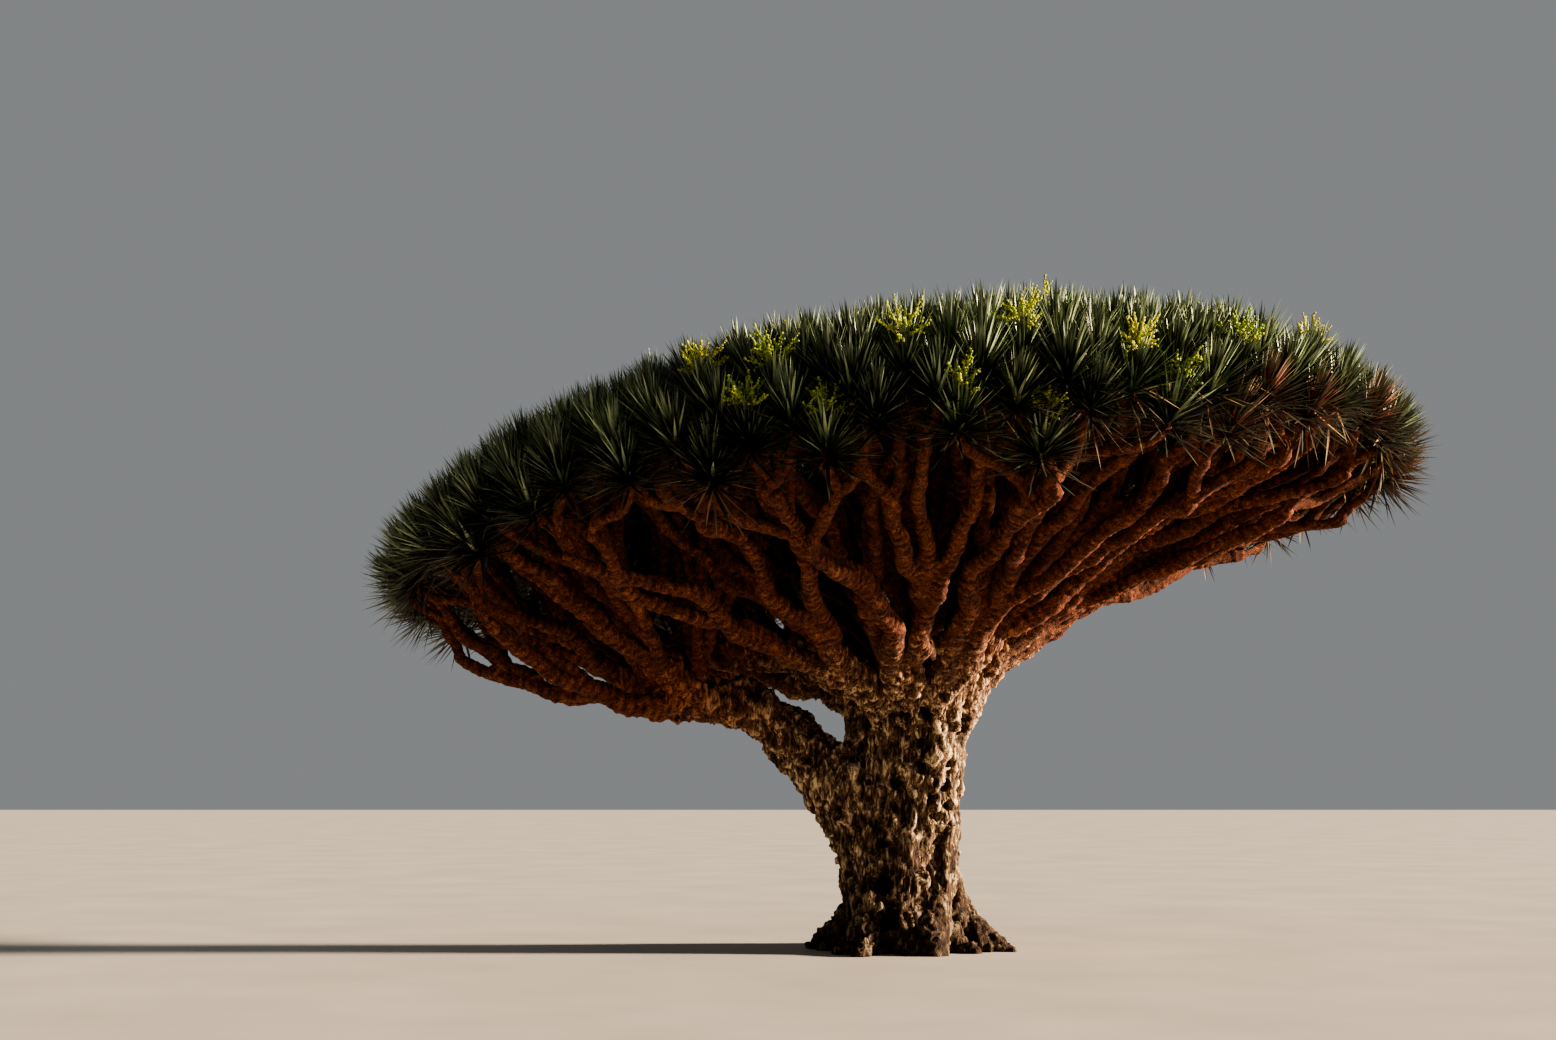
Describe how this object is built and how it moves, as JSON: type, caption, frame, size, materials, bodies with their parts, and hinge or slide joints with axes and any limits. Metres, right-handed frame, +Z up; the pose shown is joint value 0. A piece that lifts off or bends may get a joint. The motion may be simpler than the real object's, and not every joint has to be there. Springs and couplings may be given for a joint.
{
  "type": "dragon blood tree",
  "caption": "Rooted umbrella-crowned tree: stout leaning trunk with root flare, a low side limb, fanned forking boughs and a domed, tilted crown of stiff leaf rosettes in flower.",
  "frame": {"origin": "middle of the flat cut under the trunk, at ground level", "axes": "+Z up; +X to the picture's right, the side towards which the trunk leans and the crown rises; -Y towards the picture's camera"},
  "size_m": [9.4625, 8.904, 5.5242],
  "materials": {
    "trunk_bark": "rough",
    "bough_bark": "rough",
    "leaves": "satin",
    "leaf_tips": "satin",
    "dry_leaves": "matte",
    "blossom": "matte"
  },
  "bodies": {
    "root": {"trunk": "trunk_bark", "low_limb": "bough_bark", "rim_bough_01": "bough_bark", "rim_bough_02": "bough_bark", "rim_bough_03": "bough_bark", "rim_bough_04": "bough_bark", "rim_bough_05": "bough_bark", "rim_bough_06": "bough_bark", "rim_bough_07": "bough_bark", "rim_bough_08": "bough_bark", "rim_bough_09": "bough_bark", "rim_bough_10": "bough_bark", "rim_bough_11": "bough_bark", "rim_bough_12": "bough_bark", "rim_bough_13": "bough_bark", "rim_bough_14": "bough_bark", "upper_fork_01": "bough_bark", "upper_fork_02": "bough_bark", "upper_fork_03": "bough_bark", "upper_fork_04": "bough_bark", "upper_fork_05": "bough_bark", "upper_fork_06": "bough_bark", "upper_fork_07": "bough_bark", "upper_fork_08": "bough_bark", "upper_fork_09": "bough_bark", "upper_fork_10": "bough_bark", "upper_fork_11": "bough_bark", "upper_fork_12": "bough_bark", "upper_fork_13": "bough_bark", "upper_fork_14": "bough_bark", "inner_bough_01": "bough_bark", "inner_bough_02": "bough_bark", "inner_bough_03": "bough_bark", "inner_bough_04": "bough_bark", "inner_bough_05": "bough_bark", "inner_bough_06": "bough_bark", "inner_bough_07": "bough_bark", "centre_bough": "bough_bark", "foliage_centre": "leaves", "foliage_inner_01": "leaves", "foliage_inner_02": "leaves", "foliage_inner_03": "leaves", "foliage_inner_04": "leaves", "foliage_inner_05": "leaves", "foliage_inner_06": "leaves", "foliage_inner_07": "leaves", "foliage_rim_01": "leaves", "foliage_rim_02": "leaves", "foliage_rim_03": "leaves", "foliage_rim_04": "leaves", "foliage_rim_05": "leaves", "foliage_rim_06": "leaves", "foliage_rim_07": "leaves", "foliage_rim_08": "leaves", "foliage_rim_09": "leaves", "foliage_rim_10": "leaves", "foliage_rim_11": "leaves", "foliage_rim_12": "leaves", "foliage_rim_13": "leaves", "foliage_rim_14": "leaves"}
  },
  "joints": []
}
